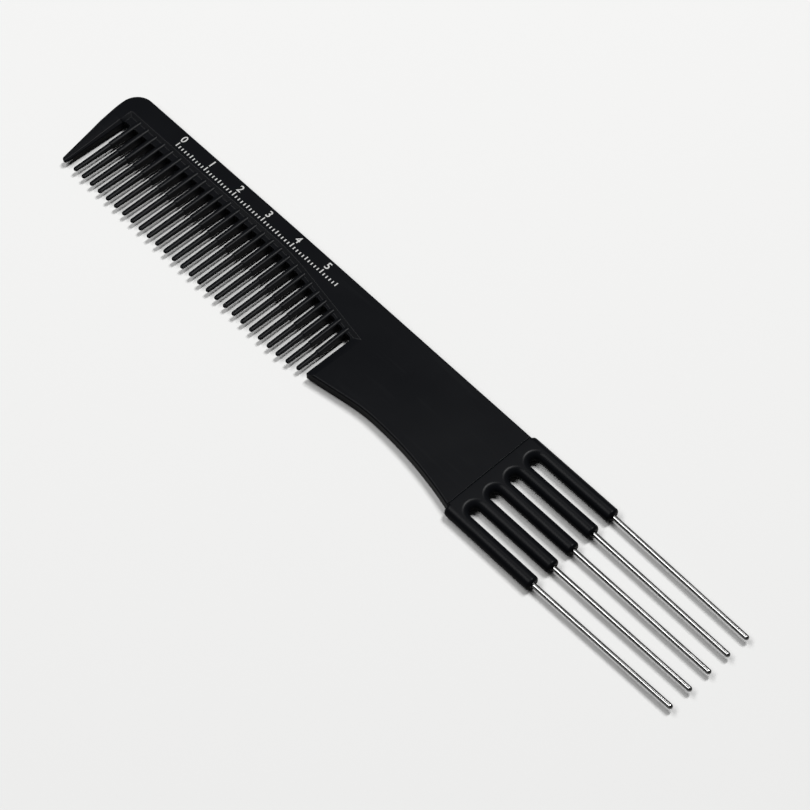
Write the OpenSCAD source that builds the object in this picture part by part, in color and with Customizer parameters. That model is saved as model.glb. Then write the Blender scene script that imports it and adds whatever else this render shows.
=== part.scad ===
// A styling comb in one moulding, with five steel lifting pins.
// It lies on its back: the length runs along X with the pins toward +X, the teeth point toward -Y
// and the faces look up and down Z. Millimetres.

/* [Teeth] */
// Number of teeth between the guard tooth and the handle
tooth_count = 27; // [20:1:32]
// Distance from one tooth to the next
tooth_pitch = 2.95; // [2.4:0.05:3.6]
// Width of a tooth where it leaves the web
tooth_root_w = 1.2; // [0.9:0.05:1.4]
// Thickness of a tooth where it leaves the web
tooth_root_t = 2.3; // [2:0.1:2.6]
// Width of a tooth just above its rounded tip
tooth_tip_w = 1.05; // [0.6:0.05:1.1]
// Thickness of a tooth just above its rounded tip
tooth_tip_t = 0.75; // [0.5:0.05:1.2]
// Length of a tooth's rounded tip
tooth_tip_round = 0.6; // [0.3:0.05:1]
// How much wider a tooth is above the step on its sides
step_w = 0.16; // [0.05:0.01:0.3]
// How much thicker a tooth is above the step
step_t = 0.3; // [0.1:0.05:0.5]
// Length of the slope that forms the step
step_run = 0.4; // [0.2:0.1:1]
// Distance from the upper edge of the tooth field to the step
step_drop = 9.5; // [6:0.5:11]
// Distance from the guard tooth's root to the middle of the first tooth
guard_gap = 2.8; // [2.2:0.05:3.5]
// Distance from the middle of the last tooth to the handle's wall
handle_gap = 2.6; // [2.05:0.05:3.5]
// Radius in the inner corners of the gaps between the teeth
gap_root_r = 0.55; // [0.3:0.05:0.6]

/* [Spine and guard tooth] */
// Distance from the spine's edge to the tips of the teeth
comb_w = 25.75; // [23:0.25:29]
// Distance from the middle pin's axis to the spine's edge
spine_y = 12.95; // [12:0.05:13.4]
// How far the spine's edge drops from the teeth to the shoulder
spine_drop = 0.45; // [0:0.05:1]
// Width of the spine above the tooth field
spine_w = 5.35; // [4:0.05:7]
// Thickness of the spine, the guard tooth and the handle
body_t = 3; // [2.8:0.1:3.2]
// Radius of the rounding along the outer edges
edge_r = 0.45; // [0.2:0.05:0.6]
// Radius of the comb's outer corner
corner_r = 4.6; // [3:0.1:6]
// Radius of the slow curve below the outer corner
belly_r = 25; // [20:1:40]
// Angle at which the guard tooth's outer edge leans in
guard_lean = 9; // [7:0.5:12]
// How far the guard tooth's inner edge has drawn back from the first tooth at its tip
guard_inner_back = 0.25; // [0:0.05:0.6]
// Width of the end of the comb before the tooth field
guard_w = 3.8; // [3.4:0.1:6]
// Radius of the guard tooth's tip
guard_tip_r = 0.8; // [0.65:0.05:1]
// Thickness of the guard tooth at its tip
guard_tip_t = 0.9; // [0.8:0.05:1.4]
// Width of the facet along the guard tooth's outer edge, at the tip
guard_facet_w = 0.5; // [0.2:0.05:0.7]
// Depth of that facet at the tip
guard_facet_d = 0.25; // [0.1:0.05:0.3]
// Width of the bevel along the guard tooth's inner edge, at the tip
guard_bevel_w = 0.5; // [0.3:0.05:0.8]
// Depth of that bevel at the tip
guard_bevel_d = 0.25; // [0.1:0.05:0.3]

/* [Tooth field] */
// Width of the bevel down from the faces to the web
field_bevel = 1; // [0.5:0.05:1.3]
// Width of the long facet where the handle meets the last gap
facet_w = 1.9; // [1.5:0.05:4]
// Thickness of the web that joins the roots of the teeth
web_t = 1.9; // [1.5:0.1:2]
// Distance from the upper edge of the tooth field to the free edge of the web, at the guard tooth
web_w = 2.9; // [2.2:0.05:3.6]
// The same distance at the handle
web_end_w = 1.5; // [1.3:0.05:2.8]
// Radius in the last gap's inner corner
field_corner_r = 1; // [0.4:0.1:1]
// Length of the field's sloping part beside the handle
slope_len = 28.2; // [20:0.2:36]
// Angle of that slope
slope_angle = 9.4; // [4:0.2:12]
// Radius of the bend between the level and the sloping part
bend_r = 75; // [40:5:120]

/* [Handle] */
// Length of the handle's flat face
handle_len = 43.2; // [40:0.2:60]
// How far the handle's lower edge curves in past the line of the tooth tips
waist_depth = 3.95; // [2:0.05:5]
// Distance from the shoulder back to the narrowest place
waist_from_shoulder = 26.2; // [20:0.2:28]
// Radius of the curve between the waist and the shoulder
waist_r = 105; // [95:5:160]
// Radius of the curve between the waist and the teeth
waist_tooth_r = 45; // [30:1:60]
// Angle of the straight stretch that runs to the teeth
waist_angle = 10; // [7:0.5:12]

/* [Pin block] */
// Distance from one prong to the next
pin_pitch = 5.89; // [5.7:0.01:6.4]
// Diameter of a prong, which is also the thickness of the block
prong_d = 3.5; // [3.3:0.1:3.8]
// Length of the block from the shoulder to the prongs' ends
block_len = 25.2; // [20:0.2:35]
// Distance from the shoulder to the centre of a slot's round end
slot_start = 5; // [4:0.1:7]
// Radius of the rounding at a prong's end
prong_round = 0.7; // [0.3:0.1:1]
// Length of the slope by which the block steps out of the handle
shoulder_run = 0.9; // [0.4:0.1:1.5]

/* [Pins] */
// Diameter of a steel pin
pin_d = 1.2; // [1:0.05:1.5]
// Length of a pin outside its prong
pin_free = 38.4; // [25:0.2:60]
// Length of a pin's tail inside its prong
pin_tail = 18; // [8:0.5:20]
// Angle by which each pin leans toward the middle one, for every place that it is away from it
pin_lean = 0.45; // [0:0.05:0.6]
// Clearance between a pin's tail and its bore, on the radius
pin_clear = 0.01; // [0:0.005:0.05]

/* [Hidden] */

plastic = [0.11, 0.11, 0.12];
steel = [0.78, 0.79, 0.8];

round_fn = 64;
arc_steps = 12;
edge_steps = 3;
waist_steps = 10;
root_steps = 4;
// How far a cut runs past what it cuts, and a buried end into what holds it
over = 1;
// Share of a tooth's width or thickness taken by the bevel along its edges
crest_share = 0.25;
// Width and thickness of a tooth at its very end, as shares of those above its rounded tip
tip_end_shares = [0.35, 0.35];
// The same a little before its end, and how far along the rounding that is
tip_mid_shares = [0.8, 0.8];
tip_mid_along_share = 0.3;
// How far a gap's inner corner starts inside the tooth beside it, as a share of the tooth's width
gap_bury_share = 0.12;
// Size of the guard tooth's facet where it starts, as a share of its size at the tip
facet_start_share = 0.05;

pin_count = 5;
pin_places = [2, 1, 0, -1, -2];

field_len = guard_gap + (tooth_count - 1) * tooth_pitch + handle_gap;
total_len = guard_w + field_bevel + field_len + facet_w + handle_len + block_len + pin_free;

// Places along X
x_end = -total_len / 2;
x_wall_in = x_end + guard_w + field_bevel;
x_wall_out = x_wall_in + field_len;
x_face = x_wall_out + facet_w;
x_shoulder = x_face + handle_len;
x_slot = x_shoulder + slot_start;
x_prong_end = x_shoulder + block_len;
x_bend = x_face - slope_len - bend_r * sin(slope_angle) / 2;
x_waist = x_shoulder - waist_from_shoulder;

// Places along Y
tip_y = spine_y - comb_w;
field_y = spine_y - spine_w;
waist_y = tip_y + waist_depth;

prong_r = prong_d / 2;
shoulder_step = prong_r - body_t / 2;
// Depth of the recess round the roots of the teeth, on each face
field_depth = (body_t - web_t) / 2;

function arc(cx, cy, r, from, to, steps) =
    [for (k = [0 : steps]) let (a = from + (to - from) * k / steps) [cx + r * cos(a), cy + r * sin(a)]];

function mix(a, b, t) = a + (b - a) * t;

// Height of the web's free edge over x
function web_y(x) = edge_y(x) - mix(web_w, web_end_w, (x - x_wall_in) / field_len);

// Height of the field's upper edge over x: level, then a bend, then a straight slope
function edge_y(x) =
    let (run = x - x_bend, bend_len = bend_r * sin(slope_angle))
    run < 0 ? field_y
    : run < bend_len ? field_y - bend_r + sqrt(bend_r * bend_r - run * run)
    : field_y - bend_r * (1 - cos(slope_angle)) - (run - bend_len) * tan(slope_angle);

// The same edge as a row of points from left to right, moved in by a distance
function edge_points(left, right, inset) =
    let (sloped = x_bend + (bend_r - inset) * sin(slope_angle))
    concat(
        [[left, field_y - inset]],
        arc(x_bend, field_y - bend_r, bend_r - inset, 90, 90 - slope_angle, arc_steps),
        [[right, field_y - bend_r + (bend_r - inset) * cos(slope_angle) - (right - sloped) * tan(slope_angle)]]
    );

// Line of the tooth tips, which rises with the handle's edge at the last teeth
waist_line_x = x_waist - waist_tooth_r * sin(waist_angle);
waist_line_y = waist_y - waist_tooth_r * (1 - cos(waist_angle));
function tips_at(x) = max(tip_y, waist_line_y - (waist_line_x - x) * tan(waist_angle));

// A closed loft through rings of equally many points
module loft(rings) {
    count = len(rings);
    sides = len(rings[0]);
    points = [for (ring = rings) each ring];
    first = [for (k = [0 : sides - 1]) k];
    last = [for (k = [sides - 1 : -1 : 0]) (count - 1) * sides + k];
    walls = [for (j = [0 : count - 2], k = [0 : sides - 1])
        [j * sides + k, (j + 1) * sides + k, (j + 1) * sides + (k + 1) % sides, j * sides + (k + 1) % sides]];
    polyhedron(points, concat([first, last], walls));
}

// Outline of the spine, the guard tooth and the handle, all convex, moved in by a distance
lean_reach = belly_r - guard_tip_r;
lean_start_y = spine_y - corner_r - lean_reach * sin(guard_lean);
guard_tip_x = x_end + belly_r - lean_reach * cos(guard_lean)
    + (lean_start_y - tip_y - guard_tip_r) * tan(guard_lean);
function body_points(inset) = concat(
    arc(x_end + corner_r, spine_y - corner_r, corner_r - inset, 90, 180, arc_steps),
    arc(x_end + belly_r, spine_y - corner_r, belly_r - inset, 180, 180 + guard_lean, arc_steps),
    arc(guard_tip_x, tip_y + guard_tip_r, guard_tip_r - inset, 180 + guard_lean, 270, arc_steps),
    [
        [x_shoulder + over, tip_y + inset],
        [x_shoulder + over, spine_y - spine_drop - inset],
        [x_bend, spine_y - inset]
    ]
);

// The blank with its rounded outer edges
module body_blank() {
    hull() {
        for (k = [0 : edge_steps]) {
            a = 90 * k / edge_steps;
            linear_extrude(height = body_t - 2 * edge_r * (1 - sin(a)), center = true)
                polygon(body_points(edge_r * (1 - cos(a))));
        }
    }
}

// Section of the cut along the handle's lower edge: its first number runs into the handle,
// and the cut flares at both faces so that it leaves rounded edges
function waist_section() =
    let (
        low = -waist_depth - over,
        top = body_t / 2 + over,
        flare = [for (k = [edge_steps : -1 : 0]) let (a = 90 * k / edge_steps)
            [edge_r * (1 - cos(a)), body_t / 2 - edge_r * (1 - sin(a))]]
    )
    concat(
        [[low, top], [edge_r, top]],
        flare,
        [for (k = [edge_steps : -1 : 0]) [flare[k][0], -flare[k][1]]],
        [[edge_r, -top], [low, -top]]
    );

// That section on an arc of the handle's edge, at an angle about the arc's centre
function waist_ring(cx, cy, r, a) =
    [for (p = waist_section()) [cx + (r + p[0]) * cos(a), cy + (r + p[0]) * sin(a), p[1]]];

// The curve of the handle: an arc from the shoulder, a tighter arc and a straight stretch to the teeth
module waist_cut() {
    from_angle = asin((waist_from_shoulder + over) / waist_r);
    straight = waist_depth / sin(waist_angle);
    loft(concat(
        [for (k = [0 : waist_steps - 1])
            waist_ring(x_waist, waist_y - waist_r, waist_r, 90 - from_angle * (1 - k / waist_steps))],
        [for (k = [0 : waist_steps])
            waist_ring(x_waist, waist_y - waist_tooth_r, waist_tooth_r, 90 + waist_angle * k / waist_steps)],
        [waist_ring(
            x_waist - straight * cos(waist_angle),
            waist_y - waist_tooth_r - straight * sin(waist_angle),
            waist_tooth_r,
            90 + waist_angle
        )]
    ));
}

// The guard tooth's inner edge and the width of the bevel along it, from root to tip
function from_root(y) = (field_y - y) / (field_y - tip_y);
function guard_x(y) = x_wall_in - guard_inner_back * from_root(y);
function guard_bevel(y) = mix(field_bevel, guard_bevel_w, from_root(y));

// The guard tooth's straight outer edge
function guard_outer_x(y) = guard_tip_x - guard_tip_r * cos(guard_lean)
    - (y - tip_y - guard_tip_r * (1 - sin(guard_lean))) * tan(guard_lean);

// Middle of a tooth, and where the outline of the gap beside it runs inside the tooth
function tooth_x(i) = x_wall_in + guard_gap + i * tooth_pitch;
tooth_side = tooth_root_w * (1 / 2 - gap_bury_share);

// Inner end of one gap from left to right, with a radius in both corners
function gap_end(left, right, corner) = concat(
    arc(left + gap_root_r, web_y(left + gap_root_r) - gap_root_r, gap_root_r, 180, 90, root_steps),
    arc(right - corner, web_y(right - corner) - corner, corner, 90, 0, root_steps)
);

// The guard tooth gets thinner from here down to its tip
thin_y = field_y - web_w - gap_root_r;
function guard_top(y) = mix(body_t / 2, guard_tip_t / 2, (thin_y - y) / (thin_y - tip_y));

// What is open right through between the guard tooth, the web and the handle
module field_opening() {
    low = tip_y - over;
    round_x = guard_x(tip_y) - guard_tip_r;
    linear_extrude(height = body_t + 2 * over, center = true)
        polygon(concat(
            [[round_x, low]],
            arc(round_x, tip_y + guard_tip_r, guard_tip_r, 270, 360, arc_steps),
            gap_end(guard_x(field_y - web_w), tooth_x(0) - tooth_side, gap_root_r),
            [for (i = [1 : tooth_count - 1])
                each gap_end(tooth_x(i - 1) + tooth_side, tooth_x(i) - tooth_side, gap_root_r)],
            gap_end(tooth_x(tooth_count - 1) + tooth_side, x_wall_out, field_corner_r),
            [[x_wall_out, low]]
        ));
}

// One side's shallow recess, with a bevel on two sides and the long facet on the third
module field_recess() {
    low = tip_y - over;
    // Past the face the bevels and the facet go on at the same slope
    past_share = over / field_depth;
    hull() {
        translate([0, 0, web_t / 2])
            linear_extrude(height = field_depth)
                polygon(concat(
                    [[guard_x(low), low]],
                    edge_points(x_wall_in, x_wall_out, field_bevel),
                    [[x_wall_out, low]]
                ));
        translate([0, 0, body_t / 2 + over])
            linear_extrude(height = over)
                polygon(concat(
                    [[guard_x(low) - guard_bevel(low) * (1 + past_share), low]],
                    edge_points(
                        x_wall_in - field_bevel * (1 + past_share),
                        x_face + facet_w * past_share,
                        -field_bevel * past_share
                    ),
                    [[x_face + facet_w * past_share, low]]
                ));
    }
}

// The cut that makes the guard tooth thinner toward its tip
module guard_thinning() {
    low = tip_y - over;
    top = body_t / 2 + over;
    translate([x_end - over, 0, 0])
        rotate([90, 0, 90])
            linear_extrude(height = guard_w + field_bevel + 2 * over)
                polygon([[thin_y, body_t / 2], [thin_y, top], [low, top], [low, guard_top(low)]]);
}

// Section of a cut that bevels an edge of the guard tooth: the bevel runs from the face to a depth
// at x, and goes on as far again past both; a width below zero turns it to the outer edge
function wedge_ring(x, y, w, d) =
    let (top = guard_top(y))
    [[x + w, y, top + d], [x - 2 * w, y, top + d], [x + w, y, top - 2 * d]];

// The bevel along the guard tooth's inner edge
module guard_bevelling() {
    low = tip_y - over;
    loft([
        wedge_ring(guard_x(thin_y), thin_y, guard_bevel(thin_y), field_depth),
        wedge_ring(guard_x(low), low, guard_bevel_w, guard_bevel_d)
    ]);
}

// The facet along the guard tooth's outer edge, which takes over from the rounding there
module guard_facet() {
    low = tip_y - over;
    loft([
        wedge_ring(guard_outer_x(low), low, -guard_facet_w, guard_facet_d),
        wedge_ring(
            guard_outer_x(thin_y),
            thin_y,
            -guard_facet_w * facet_start_share,
            guard_facet_d * facet_start_share
        )
    ]);
}

// Ring of eight points round a tooth: place along the tooth, width and thickness
function tooth_ring(x, y, w, t) =
    let (bevel = crest_share * min(w, t), w1 = w / 2, w0 = w1 - bevel, t1 = t / 2, t0 = t1 - bevel)
    [
        [x + w1, y, -t0], [x + w1, y, t0], [x + w0, y, t1], [x - w0, y, t1],
        [x - w1, y, t0], [x - w1, y, -t0], [x - w0, y, -t1], [x + w0, y, -t1]
    ];

// Rings down a tooth: buried in the spine, at the web's edge, on both sides of the step,
// above the rounded tip and round it
function tooth_rings(x) =
    let (
        top = edge_y(x) + over / 2,
        web = web_y(x),
        step = edge_y(x) - step_drop,
        end = tips_at(x),
        round_y = end + tooth_tip_round,
        mid_y = end + tooth_tip_round * tip_mid_along_share,
        at_step = (step - round_y) / (web - round_y),
        neck_w = mix(tooth_tip_w, tooth_root_w - step_w, at_step),
        neck_t = mix(tooth_tip_t, tooth_root_t - step_t, at_step)
    )
    [
        tooth_ring(x, top, tooth_root_w, tooth_root_t),
        tooth_ring(x, web, tooth_root_w, tooth_root_t),
        tooth_ring(x, step, neck_w + step_w, neck_t + step_t),
        tooth_ring(x, step - step_run, neck_w, neck_t),
        tooth_ring(x, round_y, tooth_tip_w, tooth_tip_t),
        tooth_ring(x, mid_y, tooth_tip_w * tip_mid_shares[0], tooth_tip_t * tip_mid_shares[1]),
        tooth_ring(x, end, tooth_tip_w * tip_end_shares[0], tooth_tip_t * tip_end_shares[1])
    ];

module teeth() {
    for (i = [0 : tooth_count - 1])
        loft(tooth_rings(tooth_x(i)));
}

// One prong as a bar: it slopes out of the handle and has a rounded outer end
module prong_bar() {
    rotate([0, 90, 0])
        rotate_extrude($fn = round_fn)
            union() {
                polygon([
                    [0, 0],
                    [prong_r - shoulder_run, 0],
                    [prong_r, shoulder_run],
                    [prong_r, block_len - prong_round],
                    [0, block_len - prong_round]
                ]);
                square([prong_r - prong_round, block_len]);
                translate([prong_r - prong_round, block_len - prong_round])
                    circle(r = prong_round, $fn = round_fn);
            }
}

// The round bar that turns the end of a slot, as half a ring
module slot_turn() {
    rotate([0, 0, 90])
        rotate_extrude(angle = 180, $fn = round_fn)
            translate([pin_pitch / 2, 0])
                circle(r = prong_r, $fn = round_fn);
}

// The block between the shoulder and the slots, a little thicker than the handle
module block_plate() {
    half_w = (pin_count - 1) / 2 * pin_pitch;
    rotate([90, 0, 0])
        linear_extrude(height = 2 * half_w, center = true)
            polygon([
                [x_shoulder, body_t / 2],
                [x_shoulder + shoulder_step, prong_r],
                [x_slot, prong_r],
                [x_slot, -prong_r],
                [x_shoulder + shoulder_step, -prong_r],
                [x_shoulder, -body_t / 2]
            ]);
}

module pin_block() {
    difference() {
        block_plate();
        for (k = [0 : pin_count - 2])
            translate([x_slot, (pin_places[k] + pin_places[k + 1]) / 2 * pin_pitch])
                cylinder(h = prong_d + 2 * over, r = pin_pitch / 2, center = true, $fn = round_fn);
    }
    for (k = [0 : pin_count - 2])
        translate([x_slot, (pin_places[k] + pin_places[k + 1]) / 2 * pin_pitch])
            slot_turn();
    for (place = pin_places)
        translate([x_shoulder, place * pin_pitch])
            prong_bar();
}

// Puts what runs along Z at the bottom of a prong's bore, along its pin
module along_pin(place) {
    translate([x_prong_end, place * pin_pitch, prong_r])
        rotate([0, 90, -place * pin_lean])
            translate([0, 0, -pin_tail])
                children();
}

module comb_body() {
    color(plastic)
        difference() {
            translate([0, 0, prong_r])
                union() {
                    difference() {
                        body_blank();
                        waist_cut();
                        field_opening();
                        field_recess();
                        guard_thinning();
                        guard_facet();
                        guard_bevelling();
                        mirror([0, 0, 1])
                            field_recess();
                        mirror([0, 0, 1])
                            guard_thinning();
                        mirror([0, 0, 1])
                            guard_facet();
                        mirror([0, 0, 1])
                            guard_bevelling();
                    }
                    teeth();
                    pin_block();
                }
            // A blind bore in each prong's end, for a pin's tail
            for (place = pin_places)
                along_pin(place)
                    cylinder(h = pin_tail + over, r = pin_d / 2 + pin_clear, $fn = round_fn);
        }
}

// A straight steel pin with a round free end, its tail seated at the bottom of its bore
module lift_pin(place) {
    pin_r = pin_d / 2;
    straight = pin_tail + pin_free - pin_r;
    color(steel)
        along_pin(place) {
            cylinder(h = straight, r = pin_r, $fn = round_fn);
            translate([0, 0, straight])
                sphere(r = pin_r, $fn = round_fn);
        }
}

module lift_pin_1() { lift_pin(pin_places[0]); }
module lift_pin_2() { lift_pin(pin_places[1]); }
module lift_pin_3() { lift_pin(pin_places[2]); }
module lift_pin_4() { lift_pin(pin_places[3]); }
module lift_pin_5() { lift_pin(pin_places[4]); }

comb_body();
lift_pin_1();
lift_pin_2();
lift_pin_3();
lift_pin_4();
lift_pin_5();
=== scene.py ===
import math

import bmesh
import bpy
from mathutils import Matrix, Vector


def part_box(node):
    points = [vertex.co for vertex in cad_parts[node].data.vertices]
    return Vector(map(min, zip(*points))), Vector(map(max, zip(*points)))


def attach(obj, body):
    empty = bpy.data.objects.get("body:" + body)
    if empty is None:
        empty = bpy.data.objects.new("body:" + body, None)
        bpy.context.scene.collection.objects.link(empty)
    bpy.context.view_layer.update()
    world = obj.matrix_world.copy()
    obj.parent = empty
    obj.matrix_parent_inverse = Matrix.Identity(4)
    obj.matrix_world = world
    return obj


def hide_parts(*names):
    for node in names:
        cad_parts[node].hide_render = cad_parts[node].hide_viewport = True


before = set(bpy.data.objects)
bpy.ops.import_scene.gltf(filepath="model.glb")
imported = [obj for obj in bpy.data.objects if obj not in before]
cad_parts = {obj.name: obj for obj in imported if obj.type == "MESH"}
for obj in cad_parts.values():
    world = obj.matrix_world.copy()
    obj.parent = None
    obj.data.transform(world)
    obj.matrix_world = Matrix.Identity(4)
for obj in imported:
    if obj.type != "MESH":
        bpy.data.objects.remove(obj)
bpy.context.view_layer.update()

mm = 0.001
quarterTurn = math.radians(90)
halfTurn = math.radians(180)
fullTurn = math.radians(360)
hair = 0.01        # a distance in millimetres that counts as none
sharpAngle = 35    # edges of more degrees stay crisp

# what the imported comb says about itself, in millimetres
bodyLow, bodyHigh = [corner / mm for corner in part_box("comb_body")]
midZ = bodyHigh.z / 2


# a shader socket that sums and products take as they take a number
class Wire:
    def __init__(self, finish, socket):
        self.finish = finish
        self.socket = socket

    def math(self, operation, *others):
        sockets = dict(enumerate((self,) + others))
        return self.finish.add("ShaderNodeMath", {"operation": operation}, sockets)

    def __add__(self, other):
        return self.math("ADD", other)

    def __mul__(self, other):
        return self.math("MULTIPLY", other)

    __radd__ = __add__
    __rmul__ = __mul__


# a material and its nodes
class Finish:
    def __init__(self, name):
        self.material = bpy.data.materials.new(name)
        self.material.use_nodes = True
        self.tree = self.material.node_tree
        self.tree.nodes.clear()

    def add(self, kind, settings=None, sockets=None, output=0):
        node = self.tree.nodes.new(kind)
        for key, value in (settings or {}).items():
            setattr(node, key, value)
        for key, value in (sockets or {}).items():
            if isinstance(value, Wire):
                self.tree.links.new(value.socket, node.inputs[key])
            else:
                node.inputs[key].default_value = value
        return Wire(self, node.outputs[output]) if node.outputs else None

    # noise on the object's own metres, stretched by a factor on each axis
    def noise(self, scale, detail, stretch=(1, 1, 1)):
        spot = self.add("ShaderNodeTexCoord", output="Object")
        spot = self.add("ShaderNodeMapping", sockets={"Vector": spot, "Scale": stretch})
        return self.add("ShaderNodeTexNoise", sockets={"Vector": spot, "Scale": scale, "Detail": detail})

    def band(self, wire, low, high):
        return self.add("ShaderNodeMapRange", sockets={"Value": wire, "From Min": low, "From Max": high})

    # a Mix node's colour sockets go by number, because their names repeat
    def blend(self, amount, first, second):
        factor, colorA, colorB, result = 0, 6, 7, 2
        return self.add("ShaderNodeMix", {"data_type": "RGBA"},
                        {factor: amount, colorA: first, colorB: second}, output=result)

    def close(self, **sockets):
        inputs = {key.replace("_", " "): value for key, value in sockets.items()}
        shader = self.add("ShaderNodeBsdfPrincipled", sockets=inputs)
        self.add("ShaderNodeOutputMaterial", sockets={"Surface": shader})
        return self.material


# black plastic: fine moulded grain, faint flow marks and handling scuffs
combLook = {
    "deep": (0.0009, 0.001, 0.0013, 1),
    "dusty": (0.0021, 0.0023, 0.0026, 1),
    "roughness": 0.26,   # before the grain and the marks add to it
    "specular": 0.018,
    "grain": {"scale": 5200, "detail": 3.0},   # about 0.2 mm
    "grainDepth": 0.006 * mm,
    "grainStrength": 0.35,
    "grainRoughness": 0.04,
    "flow": {"scale": 70, "detail": 3.0},
    "flowDust": 0.5,
    "flowRoughness": 0.06,
    "scuff": {"scale": 500, "detail": 4.0, "stretch": (0.12, 1.6, 1)},
    "scuffBand": (0.6, 0.8),
    "scuffDust": 0.3,
    "scuffRoughness": 0.03,
}


def makeCombPlastic():
    look = combLook
    f = Finish("combPlastic")
    grain = f.noise(**look["grain"])
    flow = f.noise(**look["flow"])
    scuff = f.band(f.noise(**look["scuff"]), *look["scuffBand"])
    dust = flow * look["flowDust"] + scuff * look["scuffDust"]
    marks = flow * look["flowRoughness"] + scuff * look["scuffRoughness"]
    bump = f.add("ShaderNodeBump", sockets={
        "Height": grain, "Strength": look["grainStrength"], "Distance": look["grainDepth"]})
    return f.close(
        Base_Color=f.blend(dust, look["deep"], look["dusty"]),
        Roughness=marks + grain * look["grainRoughness"] + look["roughness"],
        Specular_IOR_Level=look["specular"],
        Normal=bump)


# drawn steel wire, polished along its length
steelLook = {
    "bright": (0.12, 0.12, 0.119, 1),
    "dull": (0.075, 0.075, 0.074, 1),
    "roughness": 0.13,   # before the lines and stains add to it
    "lines": {"scale": 3000, "detail": 2.0, "stretch": (0.02, 1, 1)},
    "lineDulling": 0.25,
    "lineRoughness": 0.1,
    "stain": {"scale": 160, "detail": 3.0},
    "stainBand": (0.5, 0.75),
    "stainDulling": 0.5,
    "stainRoughness": 0.08,
}


def makePinSteel():
    look = steelLook
    f = Finish("pinSteel")
    lines = f.noise(**look["lines"])
    stain = f.band(f.noise(**look["stain"]), *look["stainBand"])
    dulling = stain * look["stainDulling"] + lines * look["lineDulling"]
    marks = lines * look["lineRoughness"] + stain * look["stainRoughness"]
    return f.close(
        Base_Color=f.blend(dulling, look["bright"], look["dull"]),
        Metallic=1.0,
        Roughness=marks + look["roughness"])


# pale printed ink, a little worn
inkLook = {
    "fresh": (0.135, 0.135, 0.132, 1),
    "worn": (0.065, 0.065, 0.065, 1),
    "wear": {"scale": 1500, "detail": 4.0},
    "wearBand": (0.55, 0.8),
    "roughness": 0.6,
    "specular": 0.3,
}


def makeScaleInk():
    look = inkLook
    f = Finish("scaleInk")
    wear = f.band(f.noise(**look["wear"]), *look["wearBand"])
    return f.close(
        Base_Color=f.blend(wear, look["fresh"], look["worn"]),
        Roughness=look["roughness"],
        Specular_IOR_Level=look["specular"])


# draws an outline point by point: lines go to a place, arcs turn about a centre
class Pen:
    def __init__(self, bm, x, y, z=0.0):
        self.bm = bm
        self.start = self.tip = bm.verts.new((x, y, z))
        self.edges = []

    def line(self, x, y):
        drawn = bmesh.ops.extrude_vert_indiv(self.bm, verts=[self.tip])
        self.tip = drawn["verts"][0]
        self.tip.co = (x, y, self.start.co.z)
        self.edges += drawn["edges"]

    def arc(self, x, y, degrees, steps):
        before = set(self.bm.edges)
        drawn = bmesh.ops.spin(self.bm, geom=[self.tip], cent=(x, y, 0), axis=(0, 0, 1),
                               angle=math.radians(degrees), steps=steps)
        self.tip = [v for v in drawn["geom_last"] if isinstance(v, bmesh.types.BMVert)][0]
        self.edges += [e for e in self.bm.edges if e not in before]

    def close(self):
        self.edges.append(self.bm.edges.new((self.tip, self.start)))
        return self.edges

    def fill(self):
        return bmesh.ops.contextual_create(self.bm, geom=self.close())["faces"]


def liesFlat(edge):
    return abs(edge.verts[0].co.z - edge.verts[1].co.z) < hair


def liftFaces(bm, faces, height):
    drawn = bmesh.ops.extrude_face_region(bm, geom=faces)["geom"]
    verts = [v for v in drawn if isinstance(v, bmesh.types.BMVert)]
    bmesh.ops.translate(bm, verts=verts, vec=(0, 0, height))


# joins loops one after another into a closed skin
def skinLoops(bm, loops):
    for first, second in zip(loops, loops[1:]):
        bmesh.ops.bridge_loops(bm, edges=first + second)
    for end in (loops[0], loops[-1]):
        bmesh.ops.contextual_create(bm, geom=end)


def drawLoop(bm, points):
    verts = [bm.verts.new(point) for point in points]
    return [bm.edges.new(pair) for pair in zip(verts, verts[1:] + verts[:1])]


# an object still in millimetres, drawn about the comb's middle plane
def makeDraft(name, bm, material=None):
    bmesh.ops.recalc_face_normals(bm, faces=bm.faces)
    mesh = bpy.data.meshes.new(name)
    bm.to_mesh(mesh)
    bm.free()
    piece = bpy.data.objects.new(name, mesh)
    bpy.context.scene.collection.objects.link(piece)
    if material:
        mesh.materials.append(material)
    return piece


def applyModifiers(piece):
    shaped = piece.evaluated_get(bpy.context.evaluated_depsgraph_get())
    mesh = bpy.data.meshes.new_from_object(shaped)
    piece.modifiers.clear()
    piece.data = mesh


# flip turns a cut for the upper face into one for the underside
def cutWith(piece, bm, flip=False):
    if flip:
        bmesh.ops.scale(bm, verts=bm.verts, vec=(1, 1, -1))
    cutter = makeDraft("cutter", bm)
    cut = piece.modifiers.new("cut", "BOOLEAN")
    cut.operation = "DIFFERENCE"
    cut.solver = "EXACT"
    cut.object = cutter
    applyModifiers(piece)
    bpy.data.objects.remove(cutter)


# from the draft's millimetres to the comb's own place in the frame
def toMetres(piece):
    piece.data.transform(Matrix.Scale(mm, 4) @ Matrix.Translation((0, 0, midZ)))


def smoothEdges(piece):
    piece.data.shade_smooth()
    piece.data.set_sharp_from_angle(angle=math.radians(sharpAngle))
    weighted = piece.modifiers.new("faceNormals", "WEIGHTED_NORMAL")
    weighted.keep_sharp = True


def ridePlastic(piece):
    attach(piece, "root")
    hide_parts("comb_body")


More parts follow.
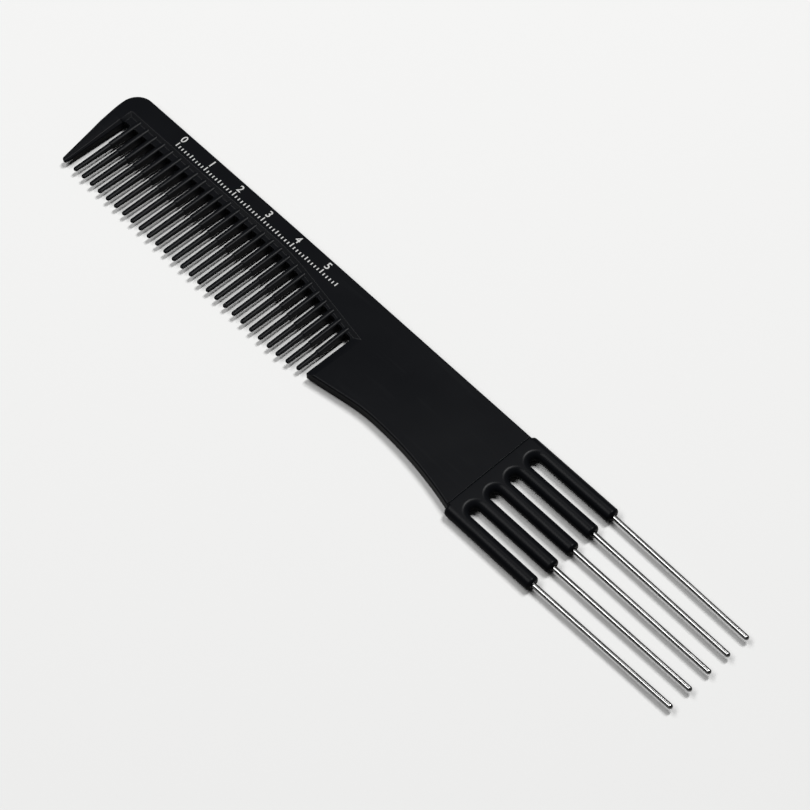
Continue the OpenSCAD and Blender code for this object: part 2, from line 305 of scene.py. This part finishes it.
# spine, guard tooth and handle, in millimetres
plate = {
    "thick": 3.0,
    "rimR": 0.45,
    "spineY": 12.95,
    "spineDrop": 0.45,
    "tipY": -12.8,
    "cornerR": 4.6,
    "bellyR": 25.0,
    "lean": 9.0,
    "guardTipR": 0.8,
    "handleLength": 43.2,
    "waistDepth": 3.95,
    "waistFromShoulder": 26.2,
    "waistR": 105.0,
    "waistToothR": 45.0,
    "waistAngle": 10.0,
    "edgeSoftness": 0.12,
    "edgeSoftAngle": 22,
}

# the recessed field of the teeth, and the guard tooth beside it
field = {
    "guardWidth": 3.8,
    "bevel": 1.0,
    "facet": 1.9,
    "webThick": 1.9,
    "webWidth": 2.9,
    "webEndWidth": 1.5,
    "spineWidth": 5.35,
    "slopeLength": 28.2,
    "slopeAngle": 9.4,
    "bendR": 75.0,
    "guardInnerBack": 0.25,
    "guardInnerStart": 0.2,    # as a share of the tip's radius
    "guardInnerDrop": 0.02,
    "guardInnerAngle": 75,
    "guardTipThick": 0.9,
    "guardBevelWidth": 0.5,
    "guardBevelDepth": 0.25,
    "guardFacetWidth": 0.5,
    "guardFacetDepth": 0.25,
    "guardFacetStart": 0.02,   # its width and depth where the thinning starts
    "guardFacetBack": 0.05,
    "rootR": 0.55,
    "handleRootR": 1.0,
    "creaseWidth": 0.3,
    "creaseDepth": 0.15,
    "rootBury": 0.144,   # how deep the roots' outline runs inside the teeth
}

# the thicker block with its five prongs
block = {
    "length": 25.2,
    "pitch": 5.89,
    "prongR": 1.75,
    "slotStart": 5.0,
    "endRound": 0.7,
    "shoulderRound": 0.9,
    "rimRound": 0.2,
    "sides": 42,
    "pinR": 0.6,
    "lip": 0.1,          # slope from a prong's end to its pin
    "lipBury": 0.05,     # how deep it ends inside the pin
}

past = 1.0   # how far cuts run past the surface
slopeTurn = math.radians(field["slopeAngle"])
waistTurn = math.radians(plate["waistAngle"])
leanTurn = math.radians(plate["lean"])

xEnd = bodyLow.x
xShoulder = bodyHigh.x - block["length"]
xFace = xShoulder - plate["handleLength"]
xWallOut = xFace - field["facet"]
xWallIn = xEnd + field["guardWidth"] + field["bevel"]
xBend = xFace - field["slopeLength"] - field["bendR"] * math.sin(slopeTurn) / 2
xWaist = xShoulder - plate["waistFromShoulder"]
waistY = plate["tipY"] + plate["waistDepth"]
fieldY = plate["spineY"] - field["spineWidth"]
bellyY = plate["spineY"] - plate["cornerR"]
lowY = plate["tipY"] - past   # cuts that are open at the tips start here
faceZ = plate["thick"] / 2
webZ = field["webThick"] / 2
fieldDepth = faceZ - webZ

# the handle's lower edge starts as a straight line that ends here
waistLineX = xWaist - plate["waistToothR"] * math.sin(waistTurn)
waistLineY = waistY - plate["waistToothR"] * (1 - math.cos(waistTurn))


# height of the tooth field's upper edge, moved in by a distance
def edgeY(x, inset=0.0):
    run = x - xBend
    radius = field["bendR"] - inset
    if run < 0:
        return fieldY - inset
    if run < radius * math.sin(slopeTurn):
        return fieldY - field["bendR"] + math.sqrt(radius ** 2 - run ** 2)
    end = radius * math.sin(slopeTurn)
    return fieldY - field["bendR"] + radius * math.cos(slopeTurn) - (run - end) * math.tan(slopeTurn)


# height of the web's free edge, which comes nearer to the upper edge toward the handle
def webY(x):
    share = (x - xWallIn) / (xWallOut - xWallIn)
    return edgeY(x) - field["webWidth"] - (field["webEndWidth"] - field["webWidth"]) * share


# height of the teeth's ends: level, and along the handle's straight line for the last ones
def tipLine(x):
    return max(plate["tipY"], waistLineY - (waistLineX - x) * math.tan(waistTurn))


# 0 at the field's upper edge and 1 at the tips
def fromRoot(y):
    return (fieldY - y) / (fieldY - plate["tipY"])


# the guard tooth's inner edge, and the width of the bevel along it
def guardX(y):
    return xWallIn - field["guardInnerBack"] * fromRoot(y)


def guardBevel(y):
    return field["bevel"] + (field["guardBevelWidth"] - field["bevel"]) * fromRoot(y)


# where the guard tooth's outer edge runs, and where it meets the round tip
guardReach = plate["bellyR"] - plate["guardTipR"]
guardDrop = bellyY - guardReach * math.sin(leanTurn) - plate["tipY"] - plate["guardTipR"]
guardTipX = xEnd + plate["bellyR"] - guardReach * math.cos(leanTurn) + math.tan(leanTurn) * guardDrop
tangentX = guardTipX - plate["guardTipR"] * math.cos(leanTurn)
tangentY = plate["tipY"] + plate["guardTipR"] * (1 - math.sin(leanTurn))


def guardOuterX(y):
    return tangentX - (y - tangentY) * math.tan(leanTurn)


# the guard tooth gets thinner from here down to its tip
thinY = fieldY - field["webWidth"] - field["rootR"]


def guardTop(y):
    return faceZ + (field["guardTipThick"] / 2 - faceZ) * (thinY - y) / (thinY - plate["tipY"])


# the plate's outline with rounded rims, before anything is cut out of it
def drawBlank():
    bm = bmesh.new()
    p = plate
    pen = Pen(bm, xEnd + p["cornerR"], p["spineY"])
    pen.arc(xEnd + p["cornerR"], bellyY, degrees=90, steps=16)
    pen.arc(xEnd + p["bellyR"], bellyY, p["lean"], steps=6)
    pen.line(tangentX, tangentY)
    pen.arc(guardTipX, p["tipY"] + p["guardTipR"], 90 - p["lean"], steps=8)
    pen.line(waistLineX - (waistLineY - p["tipY"]) / math.tan(waistTurn), p["tipY"])
    pen.line(waistLineX, waistLineY)
    pen.arc(xWaist, waistY - p["waistToothR"], -p["waistAngle"], steps=8)
    outTurn = math.asin((p["waistFromShoulder"] + past) / p["waistR"])
    pen.arc(xWaist, waistY - p["waistR"], -math.degrees(outTurn), steps=16)
    pen.line(xShoulder + past, p["spineY"] - p["spineDrop"])
    pen.line(xBend, p["spineY"])
    liftFaces(bm, pen.fill(), p["thick"])
    bmesh.ops.translate(bm, verts=bm.verts, vec=(0, 0, -faceZ))
    rims = [e for e in bm.edges if liesFlat(e)]
    bmesh.ops.bevel(bm, geom=rims, offset=p["rimR"], affect="EDGES",
                    segments=5, profile=0.5, material=-1)
    return bm


# what is open right through: from the guard's inner tip, over the round roots, to the handle's wall
def drawOpening():
    bm = bmesh.new()
    r = field["rootR"]
    tipR = plate["guardTipR"]
    roundX = guardX(plate["tipY"]) - tipR
    pen = Pen(bm, roundX, lowY, -faceZ - past)
    pen.line(roundX + tipR * field["guardInnerStart"], plate["tipY"] - field["guardInnerDrop"])
    pen.arc(roundX, plate["tipY"] + tipR, field["guardInnerAngle"], steps=7)
    half = teeth["rootWidth"] / 2 - field["rootBury"]
    left = guardX(fieldY - field["webWidth"])
    for i in range(teeth["count"] + 1):
        tooth = xWallIn + teeth["firstGap"] + i * teeth["pitch"]
        right, corner = tooth - half, r
        if i == teeth["count"]:
            right, corner = xWallOut, field["handleRootR"]
        leftY = webY(left + r) - r
        rightY = webY(right - corner) - corner
        pen.line(left, leftY)
        pen.arc(left + r, leftY, degrees=-90, steps=5)
        pen.line(right - corner, rightY + corner)
        pen.arc(right - corner, rightY, degrees=-90, steps=5)
        left = tooth + half
    pen.line(xWallOut, lowY)
    liftFaces(bm, pen.fill(), plate["thick"] + 2 * past)
    return bm


# outline of the recess at a height z: its left side leans and its right side is straight
def recessLoop(bm, z, inset, left, right):
    pen = Pen(bm, left(lowY), lowY, z)
    pen.line(left(fieldY), fieldY - inset)
    pen.line(xBend, fieldY - inset)
    pen.arc(xBend, fieldY - field["bendR"], -field["slopeAngle"], steps=12)
    pen.line(right, edgeY(right, inset))
    pen.line(right, lowY)
    return pen.close()


# shallow recess of a face, with a bevel along its upper edge and a long facet on the handle
def drawRecess():
    bm = bmesh.new()
    reach = 1 + past / fieldDepth
    floor = recessLoop(bm, webZ, field["bevel"], guardX, xWallOut)
    above = recessLoop(bm, faceZ + past, field["bevel"] * (1 - reach),
                       lambda y: guardX(y) - guardBevel(y) * reach,
                       xWallOut + field["facet"] * reach)
    skinLoops(bm, [floor, above])
    return bm


# crease where the block steps out of the handle
def drawCrease():
    bm = bmesh.new()
    length = 2 * plate["spineY"] + 2 * past
    size = Matrix.Diagonal((field["creaseWidth"], length, 2 * field["creaseDepth"], 1))
    bmesh.ops.create_cube(bm, size=1, matrix=Matrix.Translation((xShoulder, 0, faceZ)) @ size)
    return bm


# slope that thins the guard tooth toward its tip
def drawGuardThinning():
    bm = bmesh.new()
    slope = [(thinY, faceZ), (thinY, faceZ + past), (lowY, faceZ + past), (lowY, guardTop(lowY))]
    skinLoops(bm, [
        drawLoop(bm, [(x, y, z) for y, z in slope])
        for x in (xEnd - past, xWallIn + past)])
    return bm


# end of a long wedge that takes this width and depth off the guard tooth's edge at x
def wedgeLoop(bm, y, x, width, depth, side):
    top = guardTop(y)
    return drawLoop(bm, [
        (x + side * width, y, top + depth),
        (x - 2 * side * width, y, top + depth),
        (x + side * width, y, top - 2 * depth)])


# bevel along the guard tooth's inner edge
def drawGuardBevel():
    bm = bmesh.new()
    skinLoops(bm, [
        wedgeLoop(bm, thinY, guardX(thinY), guardBevel(thinY), fieldDepth, side=1),
        wedgeLoop(bm, lowY, guardX(lowY), field["guardBevelWidth"], field["guardBevelDepth"], side=1)])
    return bm


# facet along the guard tooth's outer edge, which takes over from the rounding there
def drawGuardFacet():
    bm = bmesh.new()
    start = field["guardFacetStart"]
    startX = guardOuterX(thinY) - field["guardFacetBack"]
    skinLoops(bm, [
        wedgeLoop(bm, thinY, startX, start, start, side=-1),
        wedgeLoop(bm, lowY, guardOuterX(lowY),
                  field["guardFacetWidth"], field["guardFacetDepth"], side=-1)])
    return bm


def makePlate(material):
    piece = makeDraft("combPlate", drawBlank(), material)
    cutWith(piece, drawOpening())
    for flip in (False, True):
        cutWith(piece, drawRecess(), flip)
        cutWith(piece, drawGuardThinning(), flip)
        cutWith(piece, drawGuardBevel(), flip)
        cutWith(piece, drawGuardFacet(), flip)
        cutWith(piece, drawCrease(), flip)
    soft = piece.modifiers.new("softEdges", "BEVEL")
    soft.width = plate["edgeSoftness"]
    soft.segments = 3
    soft.limit_method = "ANGLE"
    soft.angle_limit = math.radians(plate["edgeSoftAngle"])
    soft.use_clamp_overlap = False
    soft.miter_outer = "MITER_ARC"
    applyModifiers(piece)
    toMetres(piece)
    smoothEdges(piece)
    ridePlastic(piece)
    print("plate:", len(piece.data.polygons), "faces")


# the 27 teeth, in millimetres
teeth = {
    "count": 27,
    "pitch": 2.95,
    "firstGap": 2.8,
    "rootReach": 0.5,    # how far a tooth starts inside the spine
    "rootWidth": 1.2,
    "rootThick": 2.45,
    "tipWidth": 1.05,
    "tipThick": 0.8,
    "tipRound": 0.6,
    "tipAngles": (0, 20, 40, 58, 74, 84),
    "stepWidth": 0.16,
    "stepThick": 0.3,
    "stepRun": 0.4,
    "stepDrop": 9.5,
    "stepCurve": ((0, 1), (0.3, 0.85), (0.7, 0.15), (1, 0)),   # how far down, and how much is left
    "crown": 0.18,       # its height as a share of the lesser of width and thickness
    "crownSteps": 8,
}


# section of a tooth: straight sides, and a low crown over and under it
def toothRing(bm, x, y, width, thick):
    steps = teeth["crownSteps"]
    crown = teeth["crown"] * min(width, thick)
    across = [-1 + 2 * k / steps for k in range(steps + 1)]
    over = [(x + width / 2 * u, y, thick / 2 - crown * u * u) for u in across]
    return drawLoop(bm, over + [(px, py, -pz) for px, py, pz in reversed(over)])


# one tooth: down from inside the spine, past the step on its sides, to a round tip
def drawTooth(bm, x):
    t = teeth
    web = webY(x)
    step = edgeY(x) - t["stepDrop"]
    roundY = tipLine(x) + t["tipRound"]
    share = (step - roundY) / (web - roundY)
    neckWidth = t["tipWidth"] + (t["rootWidth"] - t["stepWidth"] - t["tipWidth"]) * share
    neckThick = t["tipThick"] + (t["rootThick"] - t["stepThick"] - t["tipThick"]) * share
    stations = [
        (edgeY(x) + t["rootReach"], t["rootWidth"], t["rootThick"]),
        (web, t["rootWidth"], t["rootThick"]),
    ]
    for down, left in t["stepCurve"]:
        width = neckWidth + t["stepWidth"] * left
        thick = neckThick + t["stepThick"] * left
        stations.append((step - t["stepRun"] * down, width, thick))
    for degrees in t["tipAngles"]:
        reach = math.sin(math.radians(degrees))
        size = math.cos(math.radians(degrees))
        stations.append((roundY - t["tipRound"] * reach, t["tipWidth"] * size, t["tipThick"] * size))
    skinLoops(bm, [toothRing(bm, x, *station) for station in stations])


def makeTeeth(material):
    bm = bmesh.new()
    for i in range(teeth["count"]):
        drawTooth(bm, xWallIn + teeth["firstGap"] + i * teeth["pitch"])
    piece = makeDraft("combTeeth", bm, material)
    toMetres(piece)
    smoothEdges(piece)
    ridePlastic(piece)
    print("teeth:", len(piece.data.polygons), "faces")


# places across the block, in pitches from its middle
prongPlaces = (-2, -1, 0, 1, 2)
slotPlaces = (-1.5, -0.5, 0.5, 1.5)


# the flat part of the block, with a bite out of it for the round end of each slot
def drawBlockPlate(bm):
    xSlot = xShoulder + block["slotStart"]
    pitch = block["pitch"]
    pen = Pen(bm, xShoulder, prongPlaces[0] * pitch, -block["prongR"])
    pen.line(xSlot, prongPlaces[0] * pitch)
    for place in slotPlaces:
        pen.arc(xSlot, place * pitch, degrees=-180, steps=24)
    pen.line(xShoulder, prongPlaces[-1] * pitch)
    liftFaces(bm, pen.fill(), 2 * block["prongR"])
    rims = [e for e in bm.edges
            if liesFlat(e) and max(v.co.x for v in e.verts) < xShoulder + hair]
    bmesh.ops.bevel(bm, geom=rims, offset=block["rimRound"], affect="EDGES",
                    segments=3, profile=0.5, material=-1)


# a round prong: a soft shoulder, a straight bar and an end with rounded rims
def drawProng(bm, y):
    r = block["prongR"]
    length = block["length"]
    soft = block["shoulderRound"]
    end = block["endRound"]
    pen = Pen(bm, 0, r - soft)
    pen.arc(soft, r - soft, degrees=-90, steps=6)
    pen.line(length - end, r)
    pen.arc(length - end, r - end, degrees=-90, steps=8)
    pen.line(length, block["pinR"] + block["lip"])
    pen.line(length - block["lip"], block["pinR"] - block["lipBury"])
    profile = pen.edges + list(dict.fromkeys(v for e in pen.edges for v in e.verts))
    before = set(bm.verts) - set(profile)
    bmesh.ops.spin(bm, geom=profile, cent=(0, 0, 0), axis=(1, 0, 0), angle=fullTurn,
                   steps=block["sides"], use_merge=True)
    made = [v for v in bm.verts if v not in before]
    bmesh.ops.rotate(bm, verts=made, matrix=Matrix.Rotation(quarterTurn, 3, "X"))
    bmesh.ops.translate(bm, verts=made, vec=(xShoulder, y, 0))


# the round bar that turns the inner end of a slot
def drawSlotTurn(bm, y):
    before = set(bm.verts)
    ring = bmesh.ops.create_circle(bm, segments=block["sides"], radius=block["prongR"])["verts"]
    edges = list(dict.fromkeys(e for v in ring for e in v.link_edges))
    for axis in ("Y", "X"):
        bmesh.ops.rotate(bm, verts=ring, matrix=Matrix.Rotation(quarterTurn, 3, axis))
    bmesh.ops.translate(bm, verts=ring, vec=(0, block["pitch"] / 2, 0))
    bmesh.ops.spin(bm, geom=ring + edges, cent=(0, 0, 0), axis=(0, 0, 1), angle=halfTurn, steps=24)
    made = [v for v in bm.verts if v not in before]
    bmesh.ops.translate(bm, verts=made, vec=(xShoulder + block["slotStart"], y, 0))


def makeProngBlock(material):
    bm = bmesh.new()
    drawBlockPlate(bm)
    for place in prongPlaces:
        drawProng(bm, place * block["pitch"])
    for place in slotPlaces:
        drawSlotTurn(bm, place * block["pitch"])
    piece = makeDraft("prongBlock", bm, material)
    toMetres(piece)
    smoothEdges(piece)
    ridePlastic(piece)
    print("prong block:", len(piece.data.polygons), "faces")


# a plain centimetre scale printed along the spine
scalePrint = {
    "start": -78.8,
    "length": 55,
    "baseY": 8.4,
    "tickWidth": 0.28,
    "ticks": {10: 1.3, 5: 1.05, 1: 0.75},   # a tick's height, by the millimetres it marks
    "digitSize": 2.7,
    "digitBold": 0.03,
    "digitY": 10.15,
    "thick": 0.02,
}


def drawTick(bm, x, height):
    s = scalePrint
    size = Matrix.Diagonal((s["tickWidth"], height, s["thick"], 1))
    place = Matrix.Translation((x, s["baseY"] + height / 2, faceZ + s["thick"] / 2))
    bmesh.ops.create_cube(bm, size=1, matrix=place @ size)


def drawDigit(bm, digit, x):
    curve = bpy.data.curves.new("digit", "FONT")
    curve.body = digit
    curve.size = scalePrint["digitSize"]
    curve.align_x = "CENTER"
    curve.offset = scalePrint["digitBold"]
    curve.extrude = scalePrint["thick"] / 2
    writing = bpy.data.objects.new("digit", curve)
    bpy.context.scene.collection.objects.link(writing)
    bpy.context.view_layer.update()
    shaped = writing.evaluated_get(bpy.context.evaluated_depsgraph_get())
    mesh = bpy.data.meshes.new_from_object(shaped)
    mesh.transform(Matrix.Translation((x, scalePrint["digitY"], faceZ + scalePrint["thick"] / 2)))
    bm.from_mesh(mesh)
    bpy.data.objects.remove(writing)


def makeScalePrint(material):
    s = scalePrint
    bm = bmesh.new()
    centimetre = max(s["ticks"])
    for i in range(s["length"] + 1):
        step = next(size for size in s["ticks"] if i % size == 0)
        drawTick(bm, s["start"] + i, s["ticks"][step])
        if step == centimetre:
            drawDigit(bm, str(i // centimetre), s["start"] + i)
    piece = makeDraft("scalePrint", bm, material)
    toMetres(piece)
    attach(piece, "root")
    print("scale print:", len(piece.data.polygons), "faces")


def finishPins(material):
    for i in range(len(prongPlaces)):
        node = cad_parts[f"lift_pin_{i + 1}"]
        node.data.materials.clear()
        node.data.materials.append(material)
    print("pins: dressed")


plastic = makeCombPlastic()
makePlate(plastic)
makeTeeth(plastic)
makeProngBlock(plastic)
makeScalePrint(makeScaleInk())
finishPins(makePinSteel())


# floor, lights and camera; a lamp's width is level and its height is square to that
studio = {
    "floorSize": 6.0,
    "paper": (0.215, 0.215, 0.213, 1),
    "paperRoughness": 0.85,
    "paperSpecular": 0.2,
    "air": 0.08,
}
lamps = {
    "topSoftbox": {
        "toward": (-0.4, -0.26, 0.88),
        "distance": 1.5,
        "width": 1.35,
        "height": 0.46,
        "power": 46.0,
    },
    "backSoftbox": {
        "toward": (0.0, 0.38, 0.92),
        "distance": 1.5,
        "width": 0.26,
        "height": 0.5,
        "power": 57.0,
    },
}
view = {
    "azimuth": 47.03,
    "elevation": 56.82,
    "distance": 488.3,
    "aside": 5.47,
    "up": -6.16,
    "shiftX": 0.2,      # the camera was solved about this point of the comb
    "focalPixels": 2249.6,
    "imagePixels": 810,
    "sensor": 36,
    "clip": (0.01, 20),
}


def makeFloor():
    bm = bmesh.new()
    bmesh.ops.create_grid(bm, x_segments=2, y_segments=2, size=studio["floorSize"] / 2)
    mesh = bpy.data.meshes.new("studioFloor")
    bm.to_mesh(mesh)
    bm.free()
    floor = bpy.data.objects.new("studioFloor", mesh)
    bpy.context.scene.collection.objects.link(floor)
    f = Finish("studioPaper")
    mesh.materials.append(f.close(
        Base_Color=studio["paper"],
        Roughness=studio["paperRoughness"],
        Specular_IOR_Level=studio["paperSpecular"]))


def makeLamp(name, lamp):
    light = bpy.data.lights.new(name, "AREA")
    light.shape = "RECTANGLE"
    light.size = lamp["width"]
    light.size_y = lamp["height"]
    light.energy = lamp["power"]
    holder = bpy.data.objects.new(name, light)
    toward = Vector(lamp["toward"]).normalized()
    holder.location = toward * lamp["distance"]
    holder.rotation_euler = toward.to_track_quat("Z", "Y").to_euler()
    bpy.context.scene.collection.objects.link(holder)


def makeAir():
    world = bpy.data.worlds.new("studioAir")
    world.use_nodes = True
    world.node_tree.nodes["Background"].inputs["Color"].default_value = (1, 1, 1, 1)
    world.node_tree.nodes["Background"].inputs["Strength"].default_value = studio["air"]
    bpy.context.scene.world = world


def makeCamera():
    camera = bpy.data.cameras.new("photoCamera")
    camera.sensor_width = view["sensor"]
    camera.lens = view["focalPixels"] / view["imagePixels"] * camera.sensor_width
    camera.clip_start, camera.clip_end = view["clip"]
    a = math.radians(view["azimuth"])
    e = math.radians(view["elevation"])
    back = Vector((math.sin(a) * math.cos(e), -math.cos(a) * math.cos(e), math.sin(e)))
    right = Vector((0, 0, 1)).cross(back).normalized()
    up = back.cross(right)
    holder = bpy.data.objects.new("photoCamera", camera)
    offset = back * view["distance"] + right * view["aside"] + up * view["up"]
    holder.location = (offset + Vector((view["shiftX"], 0, midZ))) * mm
    holder.rotation_euler = (-back).to_track_quat("-Z", "Y").to_euler()
    bpy.context.scene.collection.objects.link(holder)
    bpy.context.scene.camera = holder


makeFloor()
for name, lamp in lamps.items():
    makeLamp(name, lamp)
makeAir()
makeCamera()
bpy.context.scene.view_settings.view_transform = "Standard"
print("studio: ready")
